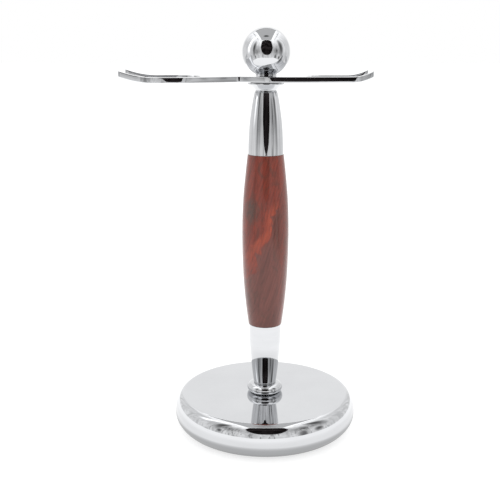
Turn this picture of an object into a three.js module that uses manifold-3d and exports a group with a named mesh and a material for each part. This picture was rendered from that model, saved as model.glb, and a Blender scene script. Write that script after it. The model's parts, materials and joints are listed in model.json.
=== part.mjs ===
// Table-top stand for a safety razor and a shaving brush.
//
// A weighted round base carries a turned column (chromed ferrules above and below a wooden grip).
// A threaded tie rod runs up the middle of the column: a nut inside the base pulls the stack
// together, and a ball finial screwed on the top end clamps the forked cradle plate to its seat.
// Units are millimetres, +Z is up, and the origin is on the column's axis at the resting surface.
import * as THREE from 'three';
import { mergeVertices } from 'three/addons/utils/BufferGeometryUtils.js';
import Module from 'manifold-3d';

const wasm = await Module();
wasm.setup();

// ---- Driving dimensions ---------------------------------------------------------------------

const STACK_GAP = 0.05;          // air left between two pieces that stand on each other
const ROD_RADIUS = 2.5;          // M5 tie rod
const ROD_HOLE_RADIUS = 2.9;     // clearance hole for the rod
const FINE_STEPS = 48;           // facets round the base
const COLUMN_STEPS = 32;         // facets round the column's pieces
const SMALL_STEPS = 24;          // facets round washers and other small rings
const SAME_POINT = 1e-4;         // outline points nearer than this are one point

const BASE = {
  radius: 36, widestAt: 6.6, top: 14.5, flatRadius: 31.6, footRadius: 30.3, footHeight: 0.6,
  shoulderPower: 2.3, undersidePower: 1.75, pocketRadius: 25, pocketTop: 12.25,
};
const PAD = { radius: 24.7, thickness: 1.4, chamfer: 0.2 };
const BALLAST = { radius: 24.6, wellRadius: 7.5, wellTop: 9.95 };
const ROD = { bottom: 3, top: 147, chamfer: 0.5 };
const NUT = {
  acrossFlats: 8, bottom: 3.6, height: 4, boreRadius: 2.7,
  cornerDrop: 0.5, faceInset: 0.1, cornerClearance: 0.2,
};
const LOCK_WASHER = { inner: 2.7, outer: 4.6, height: 1.2, gapAngle: 0.16, rake: 0.1 };
const FLAT_WASHER = { inner: 2.7, outer: 5, height: 1 };
const COLLAR = { radius: 7.05, widestAt: 16.2, top: 18.3, neckRadius: 4.5 };
const SPIGOT = { radius: 5, height: 2.6 };
const GASKET = { inner: 5.15, outer: 6, height: 0.35, recessRadius: 6.1 };
const GRIP = { bottom: 43.1, top: 110.2, bore: 4.3, counterbore: 5.3, counterboreDepth: 2.6 };
const LINER = { inner: 3, outer: 4.1, bottom: 45.8, top: 107.5 };
const UPPER_FERRULE_TOP = 133.4;
const SEAT = {
  top: 136.9, footRadius: 4.35, waistRadius: 3.95, waistHeight: 0.7,
  rimRadius: 6.85, rimHeight: 0.5, flareLean: { outward: 0.7, upward: 1.1 },
};
const SEAT_WASHER = { outer: 5.9, height: 0.3 };
const PLATE = { bottom: 137.3, thickness: 2, holeRadius: 2.8, edgeBreak: 0.25, edgeStep: 3 };
const BRUSH_FORK = {
  reach: 53.5, slotCentre: 34.5, slotRadius: 10.2, lipSlotHalfWidth: 8.6, tipCorner: 1,
  slotEase: { slotSide: 5, lipSide: 6, end: 11 },
  lipStart: 46, lipHalfWidth: 12.8, tipHalfWidth: 12.4, lipBlend: { run: 1.4, rise: 0.1 },
  swellCentre: 35.9, swellHalfWidth: 15, swellRadius: 25, swellHalfAngle: 0.236,
  bend: { start: 41, radius: 34 },
};
const WAIST = { at: 10, halfWidth: 5.8, run: 0.8, rise: 0.3, taper: { run: 0.75, drop: 0.25, share: 0.1 } };
const RAZOR_FORK = {
  reach: 39.2, slotCentre: 21, slotRadius: 6, halfWidth: 10.3,
  shoulder: { from: -0.5, lean: 1.3, to: 3.5, rise: 0.6 },
  leadInAt: 33.3, leadInSlope: 0.3, corner: 1.3, bend: { start: 31, radius: 16 },
};
const FINIAL_WASHER = { outer: 3.9, height: 0.5 };
const BALL = { radius: 8.93, centre: 148.15, footRadius: 4, holeRadius: 3.4, holeTop: 149.5 };
const INSERT = { inner: 2.75, outer: 3.3, top: 148.3 };

// ---- Heights that follow from the stack -------------------------------------------------------

const lockWasherBottom = NUT.bottom + NUT.height + STACK_GAP;
const flatWasherBottom = lockWasherBottom + LOCK_WASHER.height + STACK_GAP;
const lowerFerruleBottom = COLLAR.top + STACK_GAP;
const lowerFerruleTop = GRIP.bottom - STACK_GAP;
const upperFerruleBottom = GRIP.top + STACK_GAP;
const recessDepth = GASKET.height + STACK_GAP;
const seatBottom = UPPER_FERRULE_TOP + STACK_GAP;
const plateTop = PLATE.bottom + PLATE.thickness;
const finialWasherBottom = plateTop + STACK_GAP;
const finialBottom = finialWasherBottom + FINIAL_WASHER.height + STACK_GAP;

// ---- Finishes ---------------------------------------------------------------------------------

const finishes = {
  chrome: { color: 0xdfe1e4, roughness: 0.04, metalness: 1 },
  steel: { color: 0xa8abb0, roughness: 0.35, metalness: 1 },
  brass: { color: 0xc9a252, roughness: 0.3, metalness: 1 },
  iron: { color: 0x4a4a4c, roughness: 0.7, metalness: 0.6 },
  rosewood: { color: 0x6e2f22, roughness: 0.25, metalness: 0 },
  rubber: { color: 0x17171a, roughness: 0.8, metalness: 0 },
};

// ---- Helpers ----------------------------------------------------------------------------------

const point = (radius, height) => new THREE.Vector2(radius, height);

/** Turns a closed profile of (radius, height) points about the Z axis. */
function turned(profile, steps) {
  const loop = THREE.ShapeUtils.area(profile) < 0 ? [...profile].reverse() : [...profile];
  const startsOnAxis = profile[0].x === 0;
  if (!startsOnAxis) loop.push(loop[0].clone());
  const geometry = new THREE.LatheGeometry(loop, steps);
  geometry.rotateX(Math.PI / 2);
  return geometry;
}

/** A plain ring between two radii and two heights. */
function ring(inner, outer, bottom, top, steps = SMALL_STEPS) {
  const profile = [point(inner, bottom), point(outer, bottom), point(outer, top), point(inner, top)];
  return turned(profile, steps);
}

/** Points of a smooth curve through the given (radius, height) points. */
function smooth(points, divisions) {
  return new THREE.SplineCurve(points).getPoints(divisions);
}

/** A quarter of a superellipse from its widest point (share 0) to its flat end (share 1). */
function superQuarter(radiusEnd, radiusWide, heightWide, heightEnd, power, divisions) {
  const points = [];
  for (let i = 0; i <= divisions; i++) {
    const angle = (i / divisions) * Math.PI / 2;
    const outward = Math.max(Math.cos(angle), 0) ** (2 / power);
    const along = Math.sin(angle) ** (2 / power);
    points.push(point(
      radiusEnd + (radiusWide - radiusEnd) * outward,
      heightWide + (heightEnd - heightWide) * along,
    ));
  }
  return points;
}

/** The solid that two closed geometries have in common. */
function common(first, second) {
  const [a, b] = [first, second].map((geometry) => {
    const bare = geometry.clone();
    bare.deleteAttribute('normal');
    bare.deleteAttribute('uv');
    const merged = mergeVertices(bare);
    return new wasm.Manifold(new wasm.Mesh({
      numProp: 3,
      vertProperties: merged.attributes.position.array,
      triVerts: Uint32Array.from(merged.index.array),
    }));
  });
  const result = a.intersect(b).getMesh();
  const geometry = new THREE.BufferGeometry();
  geometry.setAttribute('position', new THREE.BufferAttribute(result.vertProperties, 3));
  geometry.setIndex(new THREE.BufferAttribute(result.triVerts, 1));
  geometry.computeVertexNormals();
  return geometry;
}

// ---- Base -------------------------------------------------------------------------------------

function basePad() {
  const { radius, thickness, chamfer } = PAD;
  return turned([
    point(0, 0), point(radius - chamfer, 0), point(radius, chamfer),
    point(radius, thickness), point(0, thickness),
  ], FINE_STEPS);
}

/** Cast base with a flat mirror top, a rounded rim that rolls under, and a pocket below. */
function baseShell() {
  const shoulder = superQuarter(
    BASE.flatRadius, BASE.radius, BASE.widestAt, BASE.top, BASE.shoulderPower, 8);
  const underside = superQuarter(
    BASE.footRadius, BASE.radius, BASE.widestAt, BASE.footHeight, BASE.undersidePower, 6);
  const outside = [...underside.reverse(), ...shoulder.slice(1)];
  return turned([
    point(ROD_HOLE_RADIUS, BASE.pocketTop), point(BASE.pocketRadius, BASE.pocketTop),
    point(BASE.pocketRadius, BASE.footHeight), ...outside,
    point(ROD_HOLE_RADIUS, BASE.top),
  ], FINE_STEPS);
}

/** Iron weight in the base's pocket, with a well underneath for the nut and its washers. */
function baseBallast() {
  const bottom = PAD.thickness + STACK_GAP;
  const top = BASE.pocketTop - STACK_GAP;
  return turned([
    point(ROD_HOLE_RADIUS, BALLAST.wellTop), point(BALLAST.wellRadius, BALLAST.wellTop),
    point(BALLAST.wellRadius, bottom), point(BALLAST.radius, bottom),
    point(BALLAST.radius, top), point(ROD_HOLE_RADIUS, top),
  ], COLUMN_STEPS);
}

// ---- Fasteners --------------------------------------------------------------------------------

function tieRod() {
  const { bottom, top, chamfer } = ROD;
  return turned([
    point(0, bottom), point(ROD_RADIUS - chamfer, bottom), point(ROD_RADIUS, bottom + chamfer),
    point(ROD_RADIUS, top - chamfer), point(ROD_RADIUS - chamfer, top), point(0, top),
  ], SMALL_STEPS);
}

/** Hexagon nut whose corners are turned off at both faces. */
function hexNut() {
  const cornerRadius = NUT.acrossFlats / Math.sqrt(3);
  const hexagon = new THREE.Shape();
  for (let corner = 0; corner < 6; corner++) {
    const angle = corner * Math.PI / 3;
    const place = [cornerRadius * Math.cos(angle), cornerRadius * Math.sin(angle)];
    if (corner === 0) hexagon.moveTo(...place);
    else hexagon.lineTo(...place);
  }
  const prism = new THREE.ExtrudeGeometry(hexagon, { depth: NUT.height, bevelEnabled: false });
  prism.translate(0, 0, NUT.bottom);
  const top = NUT.bottom + NUT.height;
  const faceRadius = NUT.acrossFlats / 2 - NUT.faceInset;
  const blankRadius = cornerRadius + NUT.cornerClearance;
  const blank = turned([
    point(NUT.boreRadius, NUT.bottom), point(faceRadius, NUT.bottom),
    point(blankRadius, NUT.bottom + NUT.cornerDrop), point(blankRadius, top - NUT.cornerDrop),
    point(faceRadius, top), point(NUT.boreRadius, top),
  ], SMALL_STEPS);
  return common(prism, blank);
}

/** Split spring washer: a ring with one raked gap. */
function lockWasher() {
  const { inner, outer, height, gapAngle, rake } = LOCK_WASHER;
  const shape = new THREE.Shape();
  shape.absarc(0, 0, outer, gapAngle, 2 * Math.PI - gapAngle, false);
  shape.absarc(0, 0, inner, 2 * Math.PI - gapAngle - rake, gapAngle - rake, true);
  const geometry = new THREE.ExtrudeGeometry(shape, {
    depth: height, bevelEnabled: false, curveSegments: SMALL_STEPS,
  });
  geometry.translate(0, 0, lockWasherBottom);
  return geometry;
}

// ---- Column -----------------------------------------------------------------------------------

/** Half-round bead that the column stands on. */
function baseCollar() {
  const bottom = BASE.top + STACK_GAP;
  const rise = COLLAR.top - COLLAR.widestAt;
  const swell = COLLAR.radius - COLLAR.neckRadius;
  const startAngle = Math.asin((bottom - COLLAR.widestAt) / rise);
  const profile = [point(ROD_HOLE_RADIUS, bottom)];
  const divisions = 7;
  for (let i = 0; i <= divisions; i++) {
    const angle = startAngle + (i / divisions) * (Math.PI / 2 - startAngle);
    profile.push(point(
      COLLAR.neckRadius + swell * Math.cos(angle),
      COLLAR.widestAt + rise * Math.sin(angle),
    ));
  }
  profile.push(point(ROD_HOLE_RADIUS, COLLAR.top));
  return turned(profile, COLUMN_STEPS);
}

/** Tapered ferrule below the grip, with a spigot that centres the grip. */
function lowerFerrule() {
  const outside = smooth([
    point(4.42, lowerFerruleBottom), point(5.1, 23.5), point(5.68, 29.5), point(6.12, 35),
    point(6.4, lowerFerruleTop),
  ], 9);
  const spigotTop = lowerFerruleTop + SPIGOT.height;
  return turned([
    point(ROD_HOLE_RADIUS, lowerFerruleBottom), ...outside,
    point(SPIGOT.radius, lowerFerruleTop), point(SPIGOT.radius, spigotTop),
    point(ROD_HOLE_RADIUS, spigotTop),
  ], COLUMN_STEPS);
}

/** Barrel-shaped wooden grip, bored through, counterbored and recessed for a gasket at both ends. */
function grip() {
  const { bottom, top, bore, counterbore, counterboreDepth } = GRIP;
  const { recessRadius } = GASKET;
  const outside = smooth([
    point(6.55, bottom), point(7.71, 52.4), point(8.6, 63.5), point(9.03, 78.5),
    point(8.67, 92), point(7.77, 102.2), point(6.9, top),
  ], 15);
  return turned([
    point(bore, bottom + counterboreDepth), point(counterbore, bottom + counterboreDepth),
    point(counterbore, bottom + recessDepth), point(recessRadius, bottom + recessDepth),
    point(recessRadius, bottom), ...outside, point(recessRadius, top),
    point(recessRadius, top - recessDepth), point(counterbore, top - recessDepth),
    point(counterbore, top - counterboreDepth), point(bore, top - counterboreDepth),
  ], COLUMN_STEPS);
}

/** Ferrule above the grip, narrowing towards the cradle's seat. */
function upperFerrule() {
  const outside = smooth([
    point(6.69, upperFerruleBottom), point(6.6, 115), point(6.2, 121.6), point(5.48, 127.2),
    point(4.87, 130.9), point(4.35, UPPER_FERRULE_TOP),
  ], 10);
  const spigotBottom = upperFerruleBottom - SPIGOT.height;
  return turned([
    point(ROD_HOLE_RADIUS, spigotBottom), point(SPIGOT.radius, spigotBottom),
    point(SPIGOT.radius, upperFerruleBottom), ...outside,
    point(ROD_HOLE_RADIUS, UPPER_FERRULE_TOP),
  ], COLUMN_STEPS);
}

/** Flared collar that the cradle plate is clamped onto. */
function cradleSeat() {
  const { top, footRadius, waistRadius, waistHeight, rimRadius, rimHeight, flareLean } = SEAT;
  const waist = point(waistRadius, seatBottom + waistHeight);
  const lean = point(waist.x + flareLean.outward, waist.y + flareLean.upward);
  const flare = new THREE.QuadraticBezierCurve(
    waist, lean, point(rimRadius, top - rimHeight)).getPoints(6);
  return turned([
    point(ROD_HOLE_RADIUS, seatBottom), point(footRadius, seatBottom), ...flare,
    point(rimRadius, top), point(ROD_HOLE_RADIUS, top),
  ], COLUMN_STEPS);
}

// ---- Cradle -----------------------------------------------------------------------------------

/** Brush fork's half outline: round slot, straight lip, small corners at the tip, then a swelling. */
function traceBrushFork(half) {
  const f = BRUSH_FORK;
  const { slotEase, lipBlend } = f;
  half.moveTo(-f.slotCentre + f.slotRadius, 0);
  half.absarc(-f.slotCentre, 0, f.slotRadius, 0, Math.PI / 2, false);
  half.bezierCurveTo(
    -f.slotCentre - slotEase.slotSide, f.slotRadius,
    -f.slotCentre - slotEase.lipSide, f.lipSlotHalfWidth,
    -f.slotCentre - slotEase.end, f.lipSlotHalfWidth);
  half.lineTo(-f.reach + f.tipCorner, f.lipSlotHalfWidth);
  half.quadraticCurveTo(
    -f.reach, f.lipSlotHalfWidth, -f.reach, f.lipSlotHalfWidth + f.tipCorner);
  half.lineTo(-f.reach, f.tipHalfWidth - f.tipCorner);
  half.quadraticCurveTo(-f.reach, f.tipHalfWidth, -f.reach + f.tipCorner, f.tipHalfWidth);
  half.lineTo(-f.lipStart, f.lipHalfWidth);
  const arcCentreY = f.swellHalfWidth - f.swellRadius;
  const startX = -f.swellCentre - f.swellRadius * Math.sin(f.swellHalfAngle);
  const startY = arcCentreY + f.swellRadius * Math.cos(f.swellHalfAngle);
  half.bezierCurveTo(
    -f.lipStart + lipBlend.run, f.lipHalfWidth + lipBlend.rise,
    startX - lipBlend.run, startY - lipBlend.run * Math.tan(f.swellHalfAngle), startX, startY);
  half.absarc(-f.swellCentre, arcCentreY, f.swellRadius,
    Math.PI / 2 + f.swellHalfAngle, Math.PI / 2 - f.swellHalfAngle, true);
}

/** Half outline of the plate's waist, from the brush fork's swelling to the razor fork's shoulder. */
function traceWaist(half) {
  const { at, halfWidth, run, rise, taper } = WAIST;
  const swellEnd = half.currentPoint;
  const taperX = swellEnd.x + taper.run;
  const taperY = swellEnd.y - taper.drop;
  const startX = -at - run;
  const startY = halfWidth + rise;
  half.quadraticCurveTo(
    taperX, taperY,
    taperX + taper.share * (startX - taperX), taperY + taper.share * (startY - taperY));
  half.lineTo(startX, startY);
  half.quadraticCurveTo(-at, halfWidth, -at + run, startY);
}

/** Razor fork's half outline: shoulder, side, lead-in towards the tip, then the round slot. */
function traceRazorFork(half) {
  const f = RAZOR_FORK;
  const { shoulder } = f;
  const tipY = f.halfWidth - f.leadInSlope * (f.reach - f.leadInAt);
  half.lineTo(shoulder.from, f.halfWidth - shoulder.rise);
  half.quadraticCurveTo(shoulder.lean, f.halfWidth, shoulder.to, f.halfWidth);
  half.lineTo(f.leadInAt - f.corner, f.halfWidth);
  half.quadraticCurveTo(
    f.leadInAt, f.halfWidth, f.leadInAt + f.corner, f.halfWidth - f.corner * f.leadInSlope);
  half.lineTo(f.reach - f.corner, tipY + f.corner * f.leadInSlope);
  half.quadraticCurveTo(f.reach, tipY, f.reach, tipY - f.corner);
  half.quadraticCurveTo(f.reach, f.slotRadius, f.reach - f.corner, f.slotRadius);
  half.lineTo(f.slotCentre, f.slotRadius);
  half.absarc(f.slotCentre, 0, f.slotRadius, Math.PI / 2, Math.PI, false);
}

/** Half outline of the plate on the +Y side, from the brush fork's slot to the razor fork's. */
function cradleHalfOutline() {
  const half = new THREE.Path();
  traceBrushFork(half);
  traceWaist(half);
  traceRazorFork(half);
  return half.getPoints(6);
}

/** Adds points so that no stretch of a closed outline is longer than the step. */
function withMorePoints(outline, step) {
  return outline.flatMap((start, i) => {
    const end = outline[(i + 1) % outline.length];
    const parts = Math.max(1, Math.ceil(start.distanceTo(end) / step));
    return Array.from({ length: parts }, (_, k) => start.clone().lerp(end, k / parts));
  });
}

/** Sheet-metal plate with a wide fork at -X and a narrow fork at +X, tips bent up. */
function cradlePlate() {
  const plus = cradleHalfOutline().filter((v, i, all) => i === 0 || v.distanceTo(all[i - 1]) > SAME_POINT);
  const minus = plus.slice(1, -1).reverse().map((v) => new THREE.Vector2(v.x, -v.y));
  const shape = new THREE.Shape(withMorePoints([...plus, ...minus], PLATE.edgeStep));
  const hole = new THREE.Path();
  hole.absarc(0, 0, PLATE.holeRadius, 0, 2 * Math.PI, false);
  shape.holes.push(hole);
  const { edgeBreak, thickness } = PLATE;
  const geometry = new THREE.ExtrudeGeometry(shape, {
    depth: thickness - 2 * edgeBreak, curveSegments: SMALL_STEPS / 2, bevelEnabled: true,
    bevelSegments: 1, bevelThickness: edgeBreak, bevelSize: edgeBreak, bevelOffset: -edgeBreak,
  });
  geometry.translate(0, 0, PLATE.bottom + edgeBreak);
  const place = geometry.attributes.position;
  for (let i = 0; i < place.count; i++) {
    const x = place.getX(i);
    const { bend } = x < 0 ? BRUSH_FORK : RAZOR_FORK;
    const past = Math.max(0, Math.abs(x) - bend.start);
    place.setZ(i, place.getZ(i) + past ** 2 / (2 * bend.radius));
  }
  geometry.computeVertexNormals();
  return geometry;
}

// ---- Finial -----------------------------------------------------------------------------------

/** Ball with a short foot and a blind hole for its threaded insert. */
function ballFinial() {
  const { radius, centre, footRadius, holeRadius, holeTop } = BALL;
  const startAngle = -Math.acos(footRadius / radius);
  const profile = [point(0, holeTop), point(holeRadius, holeTop), point(holeRadius, finialBottom),
    point(footRadius, finialBottom)];
  const divisions = 14;
  for (let i = 0; i < divisions; i++) {
    const angle = startAngle + (i / divisions) * (Math.PI / 2 - startAngle);
    profile.push(point(radius * Math.cos(angle), centre + radius * Math.sin(angle)));
  }
  profile.push(point(0, centre + radius));
  return turned(profile, COLUMN_STEPS);
}

// ---- Assembly ---------------------------------------------------------------------------------

const stand = new THREE.Group();

function addPiece(name, geometry, finish) {
  const piece = new THREE.Mesh(geometry, new THREE.MeshStandardMaterial(finishes[finish]));
  piece.name = name;
  stand.add(piece);
}

addPiece('foot_pad', basePad(), 'rubber');
addPiece('base_shell', baseShell(), 'chrome');
addPiece('base_ballast', baseBallast(), 'iron');
addPiece('tie_rod', tieRod(), 'steel');
addPiece('hex_nut', hexNut(), 'steel');
addPiece('lock_washer', lockWasher(), 'steel');
addPiece('flat_washer', ring(FLAT_WASHER.inner, FLAT_WASHER.outer, flatWasherBottom,
  flatWasherBottom + FLAT_WASHER.height), 'steel');
addPiece('base_collar', baseCollar(), 'chrome');
addPiece('lower_ferrule', lowerFerrule(), 'chrome');
addPiece('lower_gasket', ring(GASKET.inner, GASKET.outer, lowerFerruleTop + STACK_GAP,
  lowerFerruleTop + STACK_GAP + GASKET.height), 'rubber');
addPiece('wood_grip', grip(), 'rosewood');
addPiece('liner_tube', ring(LINER.inner, LINER.outer, LINER.bottom, LINER.top), 'brass');
addPiece('upper_gasket', ring(GASKET.inner, GASKET.outer, GRIP.top - GASKET.height,
  GRIP.top), 'rubber');
addPiece('upper_ferrule', upperFerrule(), 'chrome');
addPiece('cradle_seat', cradleSeat(), 'chrome');
addPiece('seat_washer', ring(ROD_HOLE_RADIUS, SEAT_WASHER.outer, SEAT.top + STACK_GAP,
  SEAT.top + STACK_GAP + SEAT_WASHER.height), 'rubber');
addPiece('cradle_plate', cradlePlate(), 'chrome');
addPiece('finial_washer', ring(ROD_HOLE_RADIUS, FINIAL_WASHER.outer, finialWasherBottom,
  finialWasherBottom + FINIAL_WASHER.height), 'chrome');
addPiece('finial_insert', ring(INSERT.inner, INSERT.outer, finialBottom + STACK_GAP, INSERT.top), 'brass');
addPiece('ball_finial', ballFinial(), 'chrome');

export default stand;
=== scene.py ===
"""Razor and brush stand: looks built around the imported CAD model.

Lengths are metres, apart from those of the cradle plate's outline and edge, which are
millimetres. Positions and sizes come from the CAD boxes. Shapes that a box can't give, such as
tapers and the fork's outline, are named values below.
"""

import json
import math

import bpy
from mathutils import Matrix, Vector
from mathutils.geometry import delaunay_2d_cdt


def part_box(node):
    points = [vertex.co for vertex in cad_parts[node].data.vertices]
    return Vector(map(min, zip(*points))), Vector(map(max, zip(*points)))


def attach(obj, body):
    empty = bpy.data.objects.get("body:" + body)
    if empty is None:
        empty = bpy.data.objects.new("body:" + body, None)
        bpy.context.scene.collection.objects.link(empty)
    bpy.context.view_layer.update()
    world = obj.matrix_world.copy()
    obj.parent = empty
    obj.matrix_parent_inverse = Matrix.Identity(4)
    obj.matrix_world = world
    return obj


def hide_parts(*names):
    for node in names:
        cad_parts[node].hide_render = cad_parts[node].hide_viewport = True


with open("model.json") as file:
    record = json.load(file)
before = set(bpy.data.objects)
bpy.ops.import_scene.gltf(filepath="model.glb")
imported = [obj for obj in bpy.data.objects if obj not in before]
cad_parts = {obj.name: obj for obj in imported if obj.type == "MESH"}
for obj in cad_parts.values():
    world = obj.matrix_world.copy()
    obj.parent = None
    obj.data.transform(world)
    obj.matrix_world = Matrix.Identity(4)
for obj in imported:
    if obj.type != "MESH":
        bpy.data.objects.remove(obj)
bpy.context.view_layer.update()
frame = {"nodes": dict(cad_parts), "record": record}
MM = 0.001                 # metres in a millimetre
TINY = 1e-9                # lengths below this count as nothing

# ---- Camera ----------------------------------------------------------------------------------

CAMERA = {
    "azimuth": -2.0,       # degrees round the column, from the -Y side
    "distance": 0.3291,    # level distance to the column's axis
    "height": 0.1516,
    "pitch_down": 13.47,   # degrees
    "yaw_left": 1.04,
    "lens": 62.49,         # focal length in millimetres
    "sensor_width": 36,    # millimetres
    "near": 0.01,
    "far": 20,
}


def make_camera():
    data = bpy.data.cameras.new("camera")
    data.lens = CAMERA["lens"]
    data.sensor_width = CAMERA["sensor_width"]
    data.clip_start = CAMERA["near"]
    data.clip_end = CAMERA["far"]
    camera = bpy.data.objects.new("camera", data)
    bpy.context.scene.collection.objects.link(camera)
    azimuth = math.radians(CAMERA["azimuth"])
    distance = CAMERA["distance"]
    camera.location = (
        distance * math.sin(azimuth), -distance * math.cos(azimuth), CAMERA["height"])
    camera.rotation_euler = (
        math.radians(90 - CAMERA["pitch_down"]), 0, azimuth + math.radians(CAMERA["yaw_left"]))
    bpy.context.scene.camera = camera


# ---- Node helpers ----------------------------------------------------------------------------

def rgba(value):
    """A colour of three parts with full alpha, and any other value as it is."""
    return (*value, 1) if isinstance(value, tuple) and len(value) == 3 else value


class Shader:
    """A material's node tree, with short calls for the nodes that the materials below use."""

    MIX_FIRST, MIX_SECOND, MIX_RESULT = 6, 7, 2     # places of a Mix node's colour sockets

    def __init__(self, name):
        self.material = bpy.data.materials.new(name)
        self.material.use_nodes = True
        self.nodes = self.material.node_tree.nodes
        self.links = self.material.node_tree.links
        self.nodes.clear()
        self.output = self.nodes.new("ShaderNodeOutputMaterial")
        self.place = self.nodes.new("ShaderNodeTexCoord").outputs["Object"]

    def node(self, kind, inputs=None, **settings):
        made = self.nodes.new(kind)
        for name, value in settings.items():
            setattr(made, name, value)
        for name, value in (inputs or {}).items():
            self.feed(made.inputs[name], value)
        return made

    def feed(self, socket, value):
        if isinstance(value, bpy.types.NodeSocket):
            self.links.new(value, socket)
        else:
            socket.default_value = value

    def axes(self):
        """The object's own X, Y and Z as separate values."""
        made = self.node("ShaderNodeSeparateXYZ", {"Vector": self.place})
        return made.outputs["X"], made.outputs["Y"], made.outputs["Z"]

    def stretched(self, scale, offset=(0, 0, 0)):
        """The object's own coordinates, scaled, to stretch a pattern along an axis."""
        made = self.node("ShaderNodeMapping", {
            "Vector": self.place, "Scale": scale, "Location": offset})
        return made.outputs["Vector"]

    def noise(self, vector, scale, detail=3.0, rough=0.5, distortion=0.0):
        made = self.node("ShaderNodeTexNoise", {
            "Vector": vector, "Scale": scale, "Detail": detail,
            "Roughness": rough, "Distortion": distortion})
        return made.outputs["Fac"]

    def ramp(self, factor, stops, easing="LINEAR"):
        made = self.node("ShaderNodeValToRGB", {"Fac": factor})
        ramp = made.color_ramp
        ramp.interpolation = easing
        while len(ramp.elements) < len(stops):
            ramp.elements.new(0.5)
        for element, (position, colour) in zip(ramp.elements, stops):
            element.position = position
            element.color = rgba(colour)
        return made.outputs["Color"]

    def level(self, factor, low, high, start=0.0, end=1.0):
        """Maps a value from start..end to low..high, clamped."""
        made = self.node("ShaderNodeMapRange", {
            "Value": factor, "From Min": start, "From Max": end, "To Min": low, "To Max": high})
        return made.outputs["Result"]

    def math(self, operation, first, second=0.0):
        made = self.nodes.new("ShaderNodeMath")
        made.operation = operation
        self.feed(made.inputs[0], first)
        self.feed(made.inputs[1], second)
        return made.outputs[0]

    def times(self, first, second):
        return self.math("MULTIPLY", first, second)

    def mix(self, factor, first, second, blend="MIX"):
        made = self.node("ShaderNodeMix", data_type="RGBA", blend_type=blend)
        self.feed(made.inputs["Factor"], factor)
        self.feed(made.inputs[self.MIX_FIRST], rgba(first))
        self.feed(made.inputs[self.MIX_SECOND], rgba(second))
        return made.outputs[self.MIX_RESULT]

    def bump(self, height, strength, distance):
        made = self.node("ShaderNodeBump", {
            "Height": height, "Strength": strength, "Distance": distance})
        return made.outputs["Normal"]

    def principled(self, **inputs):
        made = self.node("ShaderNodeBsdfPrincipled")
        for name, value in inputs.items():
            self.feed(made.inputs[name.replace("_", " ")], rgba(value))
        self.links.new(made.outputs["BSDF"], self.output.inputs["Surface"])
        return self.material


def patch_of(s, axis_values, centre, reach):
    """A soft round patch, 1 in its middle and 0 at its reach, from pairs of axis and place."""
    total = 0.0
    for value, middle, spread in zip(axis_values, centre, reach):
        offset = s.math("DIVIDE", s.math("SUBTRACT", value, middle), spread)
        total = s.math("ADD", total, s.times(offset, offset))
    return s.level(total, 1.0, 0.0, 0.0, 1.0)


# ---- Materials -------------------------------------------------------------------------------

GRAIN_SLANT = math.radians(17)      # how far the wood's bands lean from upright, in the XZ plane
GRAIN_STRETCH = 0.13                # how much slower the figure changes along the bands
STREAK = {                          # orange streak: places across the bands, then heights
    "end": -0.0253, "width": 0.0042, "soft_start": 0.0018, "soft_end": 0.0008,
    "rises": (0.066, 0.082), "fades": (0.087, 0.094), "strength": 0.85,
}
MUTED = {"blend": 0.0012, "strength": 0.85, "red_edge": (0.0042, 0.0060), "at_edge": 0.35}
EYE = {                             # dark knot beside the streak, placed in the XZ plane
    "centre": (-0.0052, 0.0895), "reach": (0.0032, 0.0055), "strength": 1.6,
    "front": (-0.002, 0.001), "colour": (0.075, 0.040, 0.032),
}


def chrome_material():
    """Mirror plate with a faint polishing haze."""
    s = Shader("chrome_plate")
    haze = s.noise(s.stretched((1, 1, 6)), 60, detail=5, rough=0.6)
    smear = s.noise(s.place, 25, detail=2)
    tone = s.ramp(haze, [(0.3, (0.605, 0.613, 0.628)), (0.7, (0.640, 0.648, 0.663))])
    roughness = s.level(smear, 0.02, 0.045, 0.35, 0.7)
    ripple = s.noise(s.place, 60, detail=1)
    return s.principled(
        Base_Color=tone, Metallic=1.0, Roughness=roughness,
        Normal=s.bump(ripple, 0.02, 0.0002))


def red_and_muted_wood(s, figure, bent, x):
    """Red above the streak, muted brown below it, and redder again at the right edge."""
    red = s.ramp(figure, [
        (0.30, (0.120, 0.020, 0.012)), (0.46, (0.175, 0.026, 0.015)),
        (0.58, (0.215, 0.032, 0.017)), (0.72, (0.150, 0.034, 0.021))])
    muted = s.ramp(figure, [
        (0.30, (0.082, 0.028, 0.022)), (0.55, (0.140, 0.046, 0.037)),
        (0.75, (0.108, 0.040, 0.033))])
    away_from_edge = s.level(x, 1.0, MUTED["at_edge"], *MUTED["red_edge"])
    below = s.level(bent, 0.0, MUTED["strength"], STREAK["end"], STREAK["end"] + MUTED["blend"])
    return s.mix(s.times(away_from_edge, below), red, muted)


def dark_patches(s, body, x, y, z):
    """Brown patches all over, and the dark eye on the front."""
    patch = s.noise(s.stretched((1.3, 1.3, 0.6), (0.004, 0.002, -0.0035)), 140, detail=3,
                    distortion=1.8)
    body = s.mix(s.level(patch, 0.0, 0.55, 0.54, 0.68), body, (0.080, 0.034, 0.024))
    swirl = s.noise(s.stretched((1, 1, 0.5)), 500, detail=2, distortion=3.0)
    eye = s.times(patch_of(s, (x, z), EYE["centre"], EYE["reach"]),
                  s.level(swirl, 0.5, 1.0, 0.4, 0.6))
    eye = s.times(s.times(eye, EYE["strength"]), s.level(y, 0.9, 0.0, *EYE["front"]))
    return s.mix(eye, body, EYE["colour"])


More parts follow.
